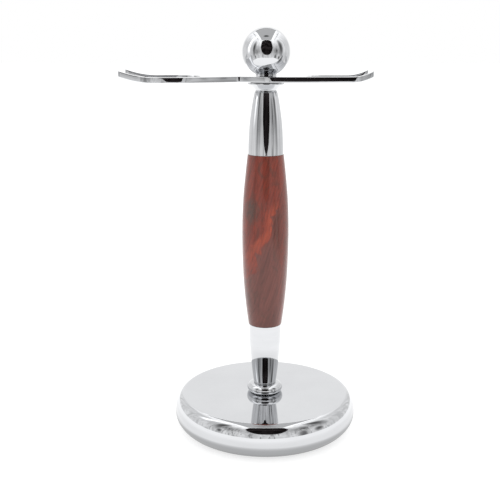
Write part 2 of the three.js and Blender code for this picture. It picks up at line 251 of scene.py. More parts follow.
def orange_streak(s, body, figure, bent, z):
    """The bright streak across the grip's middle."""
    start = STREAK["end"] - STREAK["width"]
    across = s.times(
        s.level(bent, 0.0, 1.0, start, start + STREAK["soft_start"]),
        s.level(bent, 1.0, 0.0, STREAK["end"], STREAK["end"] + STREAK["soft_end"]))
    reach = s.times(s.level(z, 0.0, 1.0, *STREAK["rises"]), s.level(z, 1.0, 0.0, *STREAK["fades"]))
    orange = s.ramp(figure, [(0.35, (0.26, 0.036, 0.016)), (0.6, (0.40, 0.062, 0.024))])
    return s.mix(s.times(across, s.times(reach, STREAK["strength"])), body, orange)


def rosewood_material():
    """Red figured wood under lacquer: slanting bands, an orange streak, fibres and dark pores."""
    s = Shader("rosewood")
    x, y, z = s.axes()
    lean, upright = math.sin(GRAIN_SLANT), math.cos(GRAIN_SLANT)
    across = s.math("SUBTRACT", s.times(x, upright), s.times(z, lean))
    across = s.math("ADD", across, s.times(y, 0.2))
    along = s.math("ADD", s.times(x, lean), s.times(z, upright))
    run = s.node("ShaderNodeCombineXYZ", {
        "X": across, "Y": y, "Z": s.times(along, GRAIN_STRETCH)}).outputs["Vector"]
    warp = s.noise(s.place, 95, detail=3, rough=0.55, distortion=0.6)
    bent = s.math("ADD", across, s.level(warp, -0.0035, 0.0035, 0.25, 0.75))

    figure = s.noise(run, 260, detail=4, rough=0.55, distortion=1.6)
    body = red_and_muted_wood(s, figure, bent, x)
    body = dark_patches(s, body, x, y, z)
    body = orange_streak(s, body, figure, bent, z)

    rings = s.node("ShaderNodeTexWave", {
        "Vector": run, "Scale": 260.0, "Distortion": 5.0, "Detail": 3.0, "Detail Scale": 1.5,
        "Detail Roughness": 0.6}, wave_type="BANDS", bands_direction="X").outputs["Fac"]
    ring_lines = s.times(s.level(rings, 0.0, 1.0, 0.55, 0.95), 0.2)
    body = s.mix(ring_lines, body, (0.055, 0.016, 0.011))
    fibre = s.noise(run, 1500, detail=3)
    fibre_tone = s.ramp(fibre, [(0.3, (0.08, 0.02, 0.012)), (0.7, (0.27, 0.07, 0.04))])
    body = s.mix(0.12, body, fibre_tone)
    pores = s.level(s.noise(s.stretched((1, 1, 0.06)), 3200, detail=2), 0.0, 1.0, 0.62, 0.74)
    body = s.mix(s.times(pores, 0.5), body, (0.04, 0.012, 0.009))
    grain = s.math("SUBTRACT", fibre, s.times(pores, 0.8))
    return s.principled(
        Base_Color=body, Roughness=s.level(fibre, 0.30, 0.44), Specular_IOR_Level=0.22,
        Normal=s.bump(grain, 0.12, 0.00008), Coat_Weight=0.6, Coat_Roughness=0.13,
        Sheen_Weight=0.22, Sheen_Roughness=0.35, Sheen_Tint=(1.0, 0.86, 0.80))


def steel_material():
    """Zinc-plated steel with fine turning marks."""
    s = Shader("zinc_steel")
    turning = s.noise(s.stretched((1, 1, 30)), 90, detail=4)
    patches = s.noise(s.place, 160, detail=4, rough=0.65)
    tone = s.ramp(patches, [(0.3, (0.50, 0.51, 0.53)), (0.7, (0.66, 0.67, 0.69))])
    return s.principled(
        Base_Color=tone, Metallic=1.0, Roughness=s.level(patches, 0.24, 0.42),
        Normal=s.bump(turning, 0.15, 0.0001))


def brass_material():
    """Machined brass, slightly tarnished."""
    s = Shader("machined_brass")
    turning = s.noise(s.stretched((1, 1, 40)), 120, detail=3)
    tarnish = s.noise(s.place, 110, detail=5, rough=0.6)
    tone = s.ramp(tarnish, [(0.3, (0.52, 0.36, 0.14)), (0.65, (0.76, 0.58, 0.28))])
    return s.principled(
        Base_Color=tone, Metallic=1.0, Roughness=s.level(tarnish, 0.22, 0.4),
        Normal=s.bump(turning, 0.2, 0.0001))


def iron_material():
    """Sand-cast iron."""
    s = Shader("cast_iron")
    sand = s.noise(s.place, 1400, detail=6, rough=0.7)
    patches = s.noise(s.place, 90, detail=4)
    tone = s.ramp(patches, [(0.35, (0.045, 0.045, 0.048)), (0.7, (0.10, 0.095, 0.09))])
    return s.principled(
        Base_Color=tone, Metallic=0.6, Roughness=s.level(sand, 0.6, 0.85),
        Normal=s.bump(sand, 0.5, 0.0003))


def rubber_material():
    """Matt black foam rubber with a fine closed grain."""
    s = Shader("black_rubber")
    cells = s.node("ShaderNodeTexVoronoi", {"Vector": s.place, "Scale": 1800.0}).outputs["Distance"]
    patches = s.noise(s.place, 200, detail=3)
    tone = s.ramp(patches, [(0.3, (0.012, 0.012, 0.013)), (0.7, (0.026, 0.026, 0.028))])
    return s.principled(
        Base_Color=tone, Roughness=s.level(patches, 0.72, 0.9),
        Normal=s.bump(cells, 0.35, 0.0002))


MATERIALS = {
    "chrome": chrome_material(),
    "rosewood": rosewood_material(),
    "steel": steel_material(),
    "brass": brass_material(),
    "ballast_iron": iron_material(),
    "black_rubber": rubber_material(),
}

# ---- Mesh helpers ----------------------------------------------------------------------------

SHARP_TURN = math.radians(38)   # corners that turn more than this are edges
CUT_SHARE = 0.45                # the most of a side that rounding a corner may take


def add_mesh(name, points, faces):
    mesh = bpy.data.meshes.new(name)
    mesh.from_pydata([tuple(p) for p in points], [], faces)
    mesh.validate()
    mesh.update()
    piece = bpy.data.objects.new(name, mesh)
    bpy.context.scene.collection.objects.link(piece)
    mesh.shade_smooth()
    mesh.set_sharp_from_angle(angle=SHARP_TURN)
    return piece


def slot_of(node):
    """Name of a CAD node's material slot."""
    return next(p["material_slot"] for p in frame["record"]["subparts"] if p["node"] == node)


def finish_piece(piece, node):
    """Stands the piece for a CAD node, on the same body and with the same finish."""
    body = next(b for b, nodes in frame["record"]["behaviour"]["bodies"].items() if node in nodes)
    slot = slot_of(node)
    piece.data.materials.append(MATERIALS[slot])
    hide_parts(node)
    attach(piece, body)
    return piece


def arc_points(centre, radius, start, end, steps):
    """Points along an arc, with its last point, angles in degrees."""
    made = []
    for i in range(steps + 1):
        angle = math.radians(start + (end - start) * i / steps)
        made.append((centre[0] + radius * math.cos(angle), centre[1] + radius * math.sin(angle)))
    return made


def bezier_points(controls, steps):
    """Points along a quadratic or cubic Bezier curve."""
    made = []
    degree = len(controls) - 1
    for i in range(steps + 1):
        t = i / steps
        weights = [math.comb(degree, k) * (1 - t) ** (degree - k) * t ** k
                   for k in range(degree + 1)]
        made.append(tuple(
            sum(w * c[axis] for w, c in zip(weights, controls)) for axis in (0, 1)))
    return made


def catmull(points, per_span):
    """Points on a uniform Catmull-Rom curve through the given (radius, height) points."""
    curve = []
    last = len(points) - 1
    for i in range(last):
        p0 = points[max(i - 1, 0)]
        p1, p2 = points[i], points[i + 1]
        p3 = points[min(i + 2, last)]
        for k in range(per_span):
            t = k / per_span
            curve.append(tuple(
                0.5 * (2 * b + (c - a) * t + (2 * a - 5 * b + 4 * c - d) * t ** 2
                       + (3 * b - a - 3 * c + d) * t ** 3)
                for a, b, c, d in zip(p0, p1, p2, p3)))
    curve.append(tuple(points[-1]))
    return curve


def softened(profile, radius, steps=4, closed=True):
    """Rounds every corner of a profile that turns by more than SHARP_TURN."""
    made = []
    count = len(profile)
    for i, corner in enumerate(profile):
        if not closed and i in (0, count - 1):
            made.append(corner)
            continue
        here = Vector(corner)
        back = Vector(profile[i - 1]) - here
        ahead = Vector(profile[(i + 1) % count]) - here
        turn = math.pi - back.angle(ahead)
        if turn < SHARP_TURN:
            made.append(corner)
            continue
        longest = CUT_SHARE * min(back.length, ahead.length)
        cut = min(radius * math.tan(turn / 2), longest)
        start = here + back.normalized() * cut
        end = here + ahead.normalized() * cut
        for k in range(steps + 1):
            t = k / steps
            made.append(tuple((1 - t) ** 2 * start + 2 * t * (1 - t) * here + t ** 2 * end))
    return made


def turned(name, profile, steps=160):
    """A solid turned about Z from a closed profile, or from one that ends on the axis."""
    on_axis = profile[0][0] < TINY
    points, rings = [], []
    for radius, height in profile:
        if radius < TINY:
            rings.append([len(points)])
            points.append((0, 0, height))
            continue
        rings.append(list(range(len(points), len(points) + steps)))
        points += [
            (radius * math.cos(2 * math.pi * k / steps),
             radius * math.sin(2 * math.pi * k / steps), height) for k in range(steps)]
    pairs = list(zip(rings, rings[1:]))
    if not on_axis:
        pairs.append((rings[-1], rings[0]))
    faces = []
    for low, high in pairs:
        for k in range(steps):
            nxt = (k + 1) % steps
            if len(low) == 1:
                faces.append((low[0], high[nxt], high[k]))
            elif len(high) == 1:
                faces.append((low[k], low[nxt], high[0]))
            else:
                faces.append((low[k], low[nxt], high[nxt], high[k]))
    return add_mesh(name, points, faces)


def turned_stand_in(node, profile, soften=0.12 * MM, steps=160):
    """Builds a turned piece with rounded corners in place of a CAD node of the same name."""
    closed = profile[0][0] > TINY
    piece = turned(node + "_turned", softened(profile, soften, closed=closed), steps)
    return finish_piece(piece, node)


def size_of(node):
    """(largest radius, lowest height, highest height) of a turned CAD node."""
    low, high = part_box(node)
    return high.x, low.z, high.z


# ---- Base ------------------------------------------------------------------------------------

BORE = 2.9 * MM                # clearance hole for the rod
SHOULDER_POWER = 2.3           # superellipse power of the base's upper edge
UNDERSIDE_POWER = 1.75         # and of its underside
BASE = {
    "flat_radius": 31.6 * MM, "widest_at": 6.6 * MM, "foot_radius": 30.3 * MM,
    "flat_margin": 0.2 * MM, "pocket_radius": 25 * MM, "pocket_top": 12.25 * MM,
}
PAD_GROOVE = 0.25 * MM         # depth of the pad's grooves and of its chamfer
PAD_GROOVES = (0.3, 0.6, 0.85) # places of the grooves, as shares of the pad's radius
COLLAR_WIDEST_AT, COLLAR_NECK = 16.2 * MM, 4.5 * MM
COLLAR_STEPS = 32


def super_quarter(radius_end, radius_wide, height_wide, height_end, power, steps):
    """A quarter of a superellipse from its widest point to its flat end."""
    made = []
    for i in range(steps + 1):
        angle = i / steps * math.pi / 2
        outward = max(math.cos(angle), 0) ** (2 / power)
        along = math.sin(angle) ** (2 / power)
        made.append((
            radius_end + (radius_wide - radius_end) * outward,
            height_wide + (height_end - height_wide) * along))
    return made


def base_shell_piece():
    """Cast base. Its flat top has one more ring near the rim, so that it mirrors as a plane."""
    radius, foot, top = size_of("base_shell")
    flat, widest_at = BASE["flat_radius"], BASE["widest_at"]
    pocket, pocket_top = BASE["pocket_radius"], BASE["pocket_top"]
    shoulder = super_quarter(flat, radius, widest_at, top, SHOULDER_POWER, 56)
    underside = super_quarter(BASE["foot_radius"], radius, widest_at, foot, UNDERSIDE_POWER, 32)
    truly_flat = (flat - BASE["flat_margin"], top)
    turned_stand_in("base_shell", [
        (BORE, pocket_top), (pocket, pocket_top), (pocket, foot),
        *reversed(underside), *shoulder[1:], truly_flat, (BORE, top)], 0.15 * MM, 224)


def foot_pad_piece():
    """Rubber pad with V grooves in its underside."""
    radius, bottom, top = size_of("foot_pad")
    grooves = []
    for share in PAD_GROOVES:
        grooves += [(radius * share - PAD_GROOVE * 2, bottom),
                    (radius * share, bottom + PAD_GROOVE),
                    (radius * share + PAD_GROOVE * 2, bottom)]
    turned_stand_in("foot_pad", [
        (0, bottom), *grooves, (radius - PAD_GROOVE, bottom), (radius, bottom + PAD_GROOVE),
        (radius, top), (0, top)], 0.1 * MM, 128)


def base_collar_piece():
    """Bead between the base and the column."""
    radius, bottom, top = size_of("base_collar")
    bulge, rise = radius - COLLAR_NECK, top - COLLAR_WIDEST_AT
    start = math.asin((bottom - COLLAR_WIDEST_AT) / rise)
    bead = []
    for i in range(COLLAR_STEPS + 1):
        angle = start + i / COLLAR_STEPS * (math.pi / 2 - start)
        bead.append((COLLAR_NECK + bulge * math.cos(angle),
                     COLLAR_WIDEST_AT + rise * math.sin(angle)))
    turned_stand_in("base_collar", [(BORE, bottom), *bead, (BORE, top)])


# ---- Column ----------------------------------------------------------------------------------

SPIGOT, SPIGOT_LENGTH = 5 * MM, 2.6 * MM
TAPER_STEPS = 14               # points on each stretch of a taper's curve
GRIP = {
    "bore": 4.3 * MM, "counterbore": 5.3 * MM, "counterbore_depth": 2.6 * MM,
    "recess": 6.1 * MM, "recess_depth": 0.4 * MM,
}
SEAT = {"waist": 3.95 * MM, "waist_height": 0.7 * MM, "foot_flare": 0.4 * MM,
        "flare_out": 0.7 * MM, "flare_up": 1.1 * MM, "rim_height": 0.5 * MM}
GASKET_BORE = 5.15 * MM
WASHER_SWELL = 0.1 * MM        # how far a clamped gasket bulges out


def lower_ferrule_piece():
    _, bottom, spigot_top = size_of("lower_ferrule")
    shoulder = spigot_top - SPIGOT_LENGTH
    taper = catmull([
        (4.42 * MM, bottom), (5.1 * MM, 23.5 * MM), (5.68 * MM, 29.5 * MM),
        (6.12 * MM, 35 * MM), (6.4 * MM, shoulder)], TAPER_STEPS)
    turned_stand_in("lower_ferrule", [
        (BORE, bottom), *taper, (SPIGOT, shoulder), (SPIGOT, spigot_top), (BORE, spigot_top)])


def wood_grip_piece():
    """Barrel with a through bore, a counterbore and a gasket recess at each end."""
    _, bottom, top = size_of("wood_grip")
    bore, counterbore, depth = GRIP["bore"], GRIP["counterbore"], GRIP["counterbore_depth"]
    recess, recess_depth = GRIP["recess"], GRIP["recess_depth"]
    barrel = catmull([
        (6.55 * MM, bottom), (7.71 * MM, 52.4 * MM), (8.6 * MM, 63.5 * MM), (9.03 * MM, 78.5 * MM),
        (8.67 * MM, 92 * MM), (7.77 * MM, 102.2 * MM), (6.9 * MM, top)], TAPER_STEPS)
    turned_stand_in("wood_grip", [
        (bore, bottom + depth), (counterbore, bottom + depth), (counterbore, bottom + recess_depth),
        (recess, bottom + recess_depth), (recess, bottom), *barrel, (recess, top),
        (recess, top - recess_depth), (counterbore, top - recess_depth),
        (counterbore, top - depth), (bore, top - depth)], 0.15 * MM)


def upper_ferrule_piece():
    _, spigot_bottom, top = size_of("upper_ferrule")
    bottom = spigot_bottom + SPIGOT_LENGTH
    taper = catmull([
        (6.69 * MM, bottom), (6.6 * MM, 115 * MM), (6.2 * MM, 121.6 * MM), (5.48 * MM, 127.2 * MM),
        (4.87 * MM, 130.9 * MM), (4.35 * MM, top)], TAPER_STEPS)
    turned_stand_in("upper_ferrule", [
        (BORE, spigot_bottom), (SPIGOT, spigot_bottom), (SPIGOT, bottom), *taper, (BORE, top)])


def cradle_seat_piece():
    """Seat that flares from a waist to a thin rim."""
    rim, bottom, top = size_of("cradle_seat")
    waist, waist_at = SEAT["waist"], bottom + SEAT["waist_height"]
    flare = bezier_points([
        (waist, waist_at), (waist + SEAT["flare_out"], waist_at + SEAT["flare_up"]),
        (rim, top - SEAT["rim_height"])], 16)
    turned_stand_in("cradle_seat", [
        (BORE, bottom), (waist + SEAT["foot_flare"], bottom), *flare, (rim, top), (BORE, top)])


def gasket_pieces():
    """The grip's two gaskets and the friction washer, each bulging a little at its middle."""
    for node in ("lower_gasket", "upper_gasket", "seat_washer"):
        outer, bottom, top = size_of(node)
        inner = BORE if node == "seat_washer" else GASKET_BORE
        swell = (outer, (bottom + top) / 2)
        turned_stand_in(node, [
            (inner, bottom), (outer - WASHER_SWELL, bottom), swell, (outer - WASHER_SWELL, top),
            (inner, top)], 0.08 * MM, 96)


# ---- Cradle ----------------------------------------------------------------------------------

FORK = {   # millimetres and degrees, seen from above, on the +Y side
    "brush_centre": 34.5, "brush_slot": 10.2, "lip_slot_half": 8.6, "tip_corner": 1.0,
    "slot_ease": 5.0, "slot_narrows": 6.0, "lip_slot_from": 11.0,
    "lip_start": 46.0, "lip_half": 12.8, "lip_blend": 1.4, "lip_rise": 0.1, "tip_half": 12.4,
    "swell_centre": 35.9, "swell_half": 15.0, "swell_radius": 25.0, "swell_angle": 13.5,
    "taper_run": 0.75, "taper_drop": 0.25, "taper_share": 0.1,
    "waist_at": 10.0, "waist_half": 5.8, "waist_run": 0.8, "waist_rise": 0.3,
    "razor_centre": 21.0, "razor_slot": 6.0, "razor_half": 10.3,
    "shoulder_from": -0.5, "shoulder_to": 3.5, "shoulder_rise": 0.6, "shoulder_ease": 1.8,
    "lead_in_at": 33.3, "lead_in_slope": 0.3, "corner": 1.3,
    "hole": 2.8, "brush_bend_start": 41.0, "brush_bend_radius": 34.0,
    "razor_bend_start": 31.0, "razor_bend_radius": 16.0,
}
EDGE = {   # millimetres: thickness, roundings, the swell of the side, deepest inset of the hole
    "thickness": 2.0, "upper_round": 0.12, "lower_round": 0.3, "barrel": 0.06, "hole_inset": 0.3,
}
ROUND_STEPS, SIDE_STEPS = 4, 8
SAME_POINT = 0.02              # points of the outline closer than this are one point
OUTLINE_STEP = 0.8             # longest straight stretch of the outline
CAP_GRID = 1.6                 # spacing of the points that let the flat faces bend
CAP_CLEARANCE = 0.6            # how far they stay off the outline, as a share of that


def brush_half_outline(tip_x):
    """Slot, lip, tip and swelling of the brush fork on the +Y side."""
    f = FORK
    centre, slot, lip_slot = -f["brush_centre"], f["brush_slot"], f["lip_slot_half"]
    corner, tip_half, lip_half = f["tip_corner"], f["tip_half"], f["lip_half"]
    lean = math.radians(f["swell_angle"])
    radius = f["swell_radius"]
    arc_centre = (-f["swell_centre"], f["swell_half"] - radius)
    start = (arc_centre[0] - radius * math.sin(lean), arc_centre[1] + radius * math.cos(lean))
    blend = f["lip_blend"]
    return [
        arc_points((centre, 0), slot, 0, 90, 24),
        bezier_points([(centre, slot), (centre - f["slot_ease"], slot),
                       (centre - f["slot_narrows"], lip_slot),
                       (centre - f["lip_slot_from"], lip_slot)], 12),
        bezier_points([(tip_x + corner, lip_slot), (tip_x, lip_slot), (tip_x, lip_slot + corner)], 6),
        bezier_points([(tip_x, tip_half - corner), (tip_x, tip_half), (tip_x + corner, tip_half)], 6),
        bezier_points([(-f["lip_start"], lip_half),
                       (-f["lip_start"] + blend, lip_half + f["lip_rise"]),
                       (start[0] - blend, start[1] - blend * math.tan(lean)), start], 12),
        arc_points(arc_centre, radius, 90 + f["swell_angle"], 90 - f["swell_angle"], 14),
    ]


def waist_parts(swell_end):
    """From the brush fork's swelling to the narrow waist on the +Y side."""
    f = FORK
    waist, half, run = -f["waist_at"], f["waist_half"], f["waist_run"]
    rise, share = half + f["waist_rise"], f["taper_share"]
    taper = (swell_end[0] + f["taper_run"], swell_end[1] - f["taper_drop"])
    return [
        bezier_points([swell_end, taper, (taper[0] + share * (waist - run - taper[0]),
                                          taper[1] + share * (rise - taper[1]))], 8),
        bezier_points([(waist - run, rise), (waist, half), (waist + run, rise)], 6),
    ]


def razor_half_outline(tip_x):
    """Shoulder, corners, tip and slot of the razor fork on the +Y side."""
    f = FORK
    slot, side, slope = f["razor_slot"], f["razor_half"], f["lead_in_slope"]
    corner, lead_in = f["corner"], f["lead_in_at"]
    shoulder = f["shoulder_from"]
    tip_y = side - slope * (tip_x - lead_in)
    return [
        bezier_points([(shoulder, side - f["shoulder_rise"]),
                       (shoulder + f["shoulder_ease"], side), (f["shoulder_to"], side)], 10),
        bezier_points([(lead_in - corner, side), (lead_in, side),
                       (lead_in + corner, side - corner * slope)], 8),
        bezier_points([(tip_x - corner, tip_y + corner * slope), (tip_x, tip_y),
                       (tip_x, tip_y - corner)], 8),
        bezier_points([(tip_x, tip_y - corner), (tip_x, slot), (tip_x - corner, slot)], 8),
        arc_points((f["razor_centre"], 0), slot, 90, 180, 20),
    ]


def fork_half_outline(low, high):
    """Half outline of the cradle plate on the +Y side, from one slot's end to the other's."""
    brush = brush_half_outline(low.x / MM)
    parts = brush + waist_parts(brush[-1][-1]) + razor_half_outline(high.x / MM)
    outline = []
    for part in parts:
        for point in part:
            if not outline or math.dist(point, outline[-1]) > SAME_POINT:
                outline.append(point)
    return outline


def refined(loop, step):
    """Adds points so that no stretch of a closed loop is longer than the step."""
    made = []
    for start, end in zip(loop, loop[1:] + loop[:1]):
        parts = max(1, math.ceil(math.dist(start, end) / step))
        made += [(start[0] + (end[0] - start[0]) * k / parts,
                  start[1] + (end[1] - start[1]) * k / parts) for k in range(parts)]
    return made


def inset(loop, distance):
    """Moves a counter-clockwise loop inwards, or a clockwise one outwards, by a distance."""
    made = []
    for i, here in enumerate(loop):
        before, after = Vector(loop[i - 1]), Vector(loop[(i + 1) % len(loop)])
        along = (after - before).normalized()
        made.append((here[0] - along.y * distance, here[1] + along.x * distance))
    return made


def inside(point, loop):
    """Whether a point is inside a closed loop."""
    x, y = point
    found = False
    for (x1, y1), (x2, y2) in zip(loop, loop[1:] + loop[:1]):
        if (y1 > y) != (y2 > y) and x < x1 + (y - y1) * (x2 - x1) / (y2 - y1):
            found = not found
    return found


def cap_faces(outer, hole):
    """Triangles that fill the outline round the hole, and the extra points inside it."""
    boundary = outer + hole
    edges = []
    start = 0
    for loop in (outer, hole):
        edges += [(start + i, start + (i + 1) % len(loop)) for i in range(len(loop))]
        start += len(loop)
    xs, ys = [p[0] for p in outer], [p[1] for p in outer]
    left, front = min(xs), min(ys)
    extra = []
    for i in range(int((max(xs) - left) / CAP_GRID)):
        for j in range(int((max(ys) - front) / CAP_GRID) + 1):
            stagger = 0.5 + 0.5 * (j % 2)
            point = (left + (i + stagger) * CAP_GRID, front + j * CAP_GRID)
            clear = min(math.dist(point, b) for b in boundary) > CAP_CLEARANCE * CAP_GRID
            if clear and inside(point, outer) and not inside(point, hole):
                extra.append(point)
    points = [Vector(p) for p in boundary + extra]
    _, _, triangles, origins, _, _ = delaunay_2d_cdt(points, edges, [], 0, 1e-6, True)
    faces = []
    for triangle in triangles:
        corners = [origins[v][0] for v in triangle]
        middle = sum((points[c] for c in corners), Vector((0, 0))) / 3
        if inside(middle, outer) and not inside(middle, hole):
            faces.append(corners)
    return faces, extra


def fork_lift(x):
    """How far the plate is bent up, in millimetres, at a distance along X."""
    side = "brush" if x < 0 else "razor"
    past = max(0.0, abs(x) - FORK[side + "_bend_start"])
    return past ** 2 / (2 * FORK[side + "_bend_radius"])


def plate_outline(low, high):
    """Closed counter-clockwise outline of the plate."""
    plus = fork_half_outline(low, high)
    minus = [(x, -y) for x, y in reversed(plus[1:-1])]
    outer = refined(plus + minus, OUTLINE_STEP)
    twice_area = sum(a[0] * b[1] - b[0] * a[1] for a, b in zip(outer, outer[1:] + outer[:1]))
    if twice_area < 0:
        outer.reverse()
    return outer


def edge_levels(bottom, top):
    """(inset, height) down the plate's edge, from the top face to the bottom face."""
    upper, lower, barrel = EDGE["upper_round"], EDGE["lower_round"], EDGE["barrel"]
    quarter = [i / ROUND_STEPS * math.pi / 2 for i in range(ROUND_STEPS + 1)]
    levels = [(upper * (1 - math.sin(a)), top - upper * (1 - math.cos(a))) for a in quarter]
    side = top - upper - bottom - lower
    for i in range(1, SIDE_STEPS):
        share = i / SIDE_STEPS
        levels.append((barrel * share ** 2, top - upper - side * share))
    levels += [(barrel + lower * (1 - math.cos(a)), bottom + lower * (1 - math.sin(a)))
               for a in quarter]
    return levels


def cradle_piece():
    """Plate with a crisp upper edge, a slightly barrelled side and raised fork tips."""
    low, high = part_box("cradle_plate")
    bottom = low.z / MM
    outer = plate_outline(low, high)
    hole = list(reversed(arc_points((0, 0), FORK["hole"], 0, 360, 64)[:-1]))
    levels = edge_levels(bottom, bottom + EDGE["thickness"])
    loops = [(inset(outer, depth), inset(hole, min(depth, EDGE["hole_inset"])))
             for depth, _ in levels]
    points, faces = [], []
    for (outer_loop, hole_loop), (_, height) in zip(loops, levels):
        points += [(x, y, height) for x, y in outer_loop + hole_loop]
    count, hole_count = len(outer), len(hole)
    ring = count + hole_count
    last = len(levels) - 1
    for k in range(last):
        upper, lower = k * ring, (k + 1) * ring
        for start, size in ((0, count), (count, hole_count)):
            for i in range(size):
                a, b = start + i, start + (i + 1) % size
                faces.append((lower + a, lower + b, upper + b, upper + a))
    for level, flip in ((0, False), (last, True)):
        triangles, extra = cap_faces(*loops[level])
        first_extra = len(points)
        points += [(x, y, levels[level][1]) for x, y in extra]
        for triangle in triangles:
            corners = [level * ring + c if c < ring else first_extra + c - ring for c in triangle]
            faces.append(tuple(reversed(corners)) if flip else tuple(corners))
    bent = [(x * MM, y * MM, (z + fork_lift(x)) * MM) for x, y, z in points]
    finish_piece(add_mesh("cradle_plate_fork", bent, faces), "cradle_plate")


# ---- Finial and rod --------------------------------------------------------------------------

BALL = {"radius": 8.93 * MM, "foot": 4 * MM, "hole": 3.4 * MM, "hole_top": 149.5 * MM, "steps": 96}
ROD = {
    "crest": 2.5 * MM, "root": 2.05 * MM, "shank": 2.28 * MM, "pitch": 0.8 * MM,
    "end_cut": 0.2 * MM,           # how much thinner than the root each end starts
    "upper_length": 16 * MM, "lower_length": 10 * MM, "shank_step": 5 * MM,
    "flank": 1.25,                 # over 1, it leaves a flat on each crest
    "around": 32, "per_pitch": 8,
}


def finial_washer_piece():
    outer, bottom, top = size_of("finial_washer")
    turned_stand_in("finial_washer", [
        (BORE, bottom), (outer, bottom), (outer, top), (BORE, top)], 0.15 * MM, 96)


def ball_finial_piece():
    """Ball with a flat foot and a blind hole for its insert."""
    _, bottom, top = size_of("ball_finial")
    ball, foot, hole, hole_top = BALL["radius"], BALL["foot"], BALL["hole"], BALL["hole_top"]
    centre = top - ball
    start = -math.acos(foot / ball)
    skin = []
    for i in range(BALL["steps"]):
        angle = start + i / BALL["steps"] * (math.pi / 2 - start)
        skin.append((ball * math.cos(angle), centre + ball * math.sin(angle)))
    turned_stand_in("ball_finial", [
        (0, hole_top), (hole, hole_top), (hole, bottom), (foot, bottom), *skin, (0, top)],
        0.12 * MM, 192)


def rod_heights(bottom, top, lower_thread, upper_thread):
    """Heights of the rod's rings, close together on the threads and far apart on the shank."""
    heights = [bottom]
    z = bottom
    while z < top - TINY:
        threaded = z < lower_thread or z >= upper_thread
        z = min(z + (ROD["pitch"] / ROD["per_pitch"] if threaded else ROD["shank_step"]), top)
        if not threaded:
            z = min(z, upper_thread)
        heights.append(z)
    return heights


def tie_rod_piece():
    """Rod with a rolled M5 thread at both ends and a plain shank between them."""
    _, bottom, top = size_of("tie_rod")
    root, depth, around = ROD["root"], ROD["crest"] - ROD["root"], ROD["around"]
    upper_thread, lower_thread = top - ROD["upper_length"], bottom + ROD["lower_length"]
    heights = rod_heights(bottom, top, lower_thread, upper_thread)
    points = [(0, 0, bottom)]
    for z in heights:
        from_end = min(z - bottom, top - z)
        for k in range(around):
            turn = k / around
            radius = ROD["shank"]
            if z <= lower_thread or z >= upper_thread:
                wave = abs(((z / ROD["pitch"] - turn) % 1.0) * 2 - 1)
                radius = root + depth * min(1.0, ROD["flank"] * wave)
            radius = min(radius, root - ROD["end_cut"] + from_end)
            angle = 2 * math.pi * turn
            points.append((radius * math.cos(angle), radius * math.sin(angle), z))
    points.append((0, 0, top))
    faces = []
    last = len(points) - 1
    for k in range(around):
        nxt = (k + 1) % around
        faces.append((0, 1 + nxt, 1 + k))
        faces.append((last, last - around + k, last - around + nxt))
        for row in range(len(heights) - 1):
            low, high = 1 + row * around, 1 + (row + 1) * around
            faces.append((low + k, low + nxt, high + nxt, high + k))
    finish_piece(add_mesh("tie_rod_threaded", points, faces), "tie_rod")


# ---- Pieces carried over from the CAD model --------------------------------------------------

def carried_over(*nodes):
    """Gives CAD nodes that nothing shows their new materials, and keeps their meshes."""
    for node in nodes:
        part = frame["nodes"][node]
        slot = slot_of(node)
        part.data.materials.clear()
        part.data.materials.append(MATERIALS[slot])


# ---- Light tent ------------------------------------------------------------------------------
#
# Cards and cloths that only the polished metal and the lacquer mirror. The diffuse light is the
# plain white world, which passes through them.

CARD_GAIN = 1.39       # how much brighter the cards are than their look in the polished plate
CEILING = 0.557
WALL_PATH = [          # plan of the tent's wall, left back to right back
    (-0.23, 0.62), (-0.225, -0.10), (-0.213, -0.205), (-0.165, -0.27), (-0.08, -0.29),
    (0.08, -0.29), (0.165, -0.27), (0.213, -0.205), (0.225, -0.10), (0.23, 0.62)]
WALL_PATCHES = [       # dark folds: middle, reach and depth of each
    ((0.225, -0.11, 0.045), (0.05, 0.035, 0.045), 0.85),
    ((-0.22, -0.15, 0.05), (0.05, 0.02, 0.04), 0.85),
    ((0.205, -0.215, 0.03), (0.045, 0.04, 0.10), 0.8),
    ((-0.225, -0.125, 0.22), (0.06, 0.045, 0.19), 0.92),
    ((0.225, -0.07, 0.22), (0.06, 0.06, 0.19), 0.88)]
WALL_GAP = {           # bright slit in the left wall: place in plan, where it fades in, glow
    "centre": (-0.225, 0.005), "reach": (0.06, 0.035), "heights": (0.12, 0.18), "glow": 0.9}
WALL_BACK = {"from": 0.30, "to": 0.55, "glow": 0.80}
OPENING = {
    "y": -0.268, "centre": 0.006, "half_width": 0.150, "bottom": 0.082, "top": 0.543,
    "sill": 0.17, "crown": 0.06,       # how far the sill rises and the top drops at the sides
    "steps": 24, "tint": (1.0, 0.82, 0.86),
}
CEILING_STRIPS = [     # name, half width and y in front, the same at the back, drop, glow
    ("ceiling_lamps", (0.23, -0.29), (0.23, 0.62), 0.0, 1.3),
    ("ceiling_cloth", (0.17, -0.27), (0.21, 0.47), 0.002, 0.47),
    ("ceiling_back_seam", (0.22, 0.44), (0.22, 0.54), 0.004, 0.26)]
PORTS = [              # name, size, drop and glow of the port in the ceiling and of its rim
    ("ceiling_port_rim", 0.075, 0.006, 0.3), ("ceiling_port", 0.052, 0.008, 0.09)]
PORT_SHAPE = {"y": -0.094, "wide": 1.1, "deep": 0.6, "steps": 32}
WALL_ROD = {"x": 0.214, "front": -0.15, "back": 0.30, "bottom": 0.45, "top": 0.463, "glow": 0.2}
FLOOR_REACH = 6.0
FLOOR_DROP = 0.02 * MM         # keeps the floors clear of the pad and of each other
BASE_SHADOW_REACH = 0.12       # radius over which the mirrored floor brightens


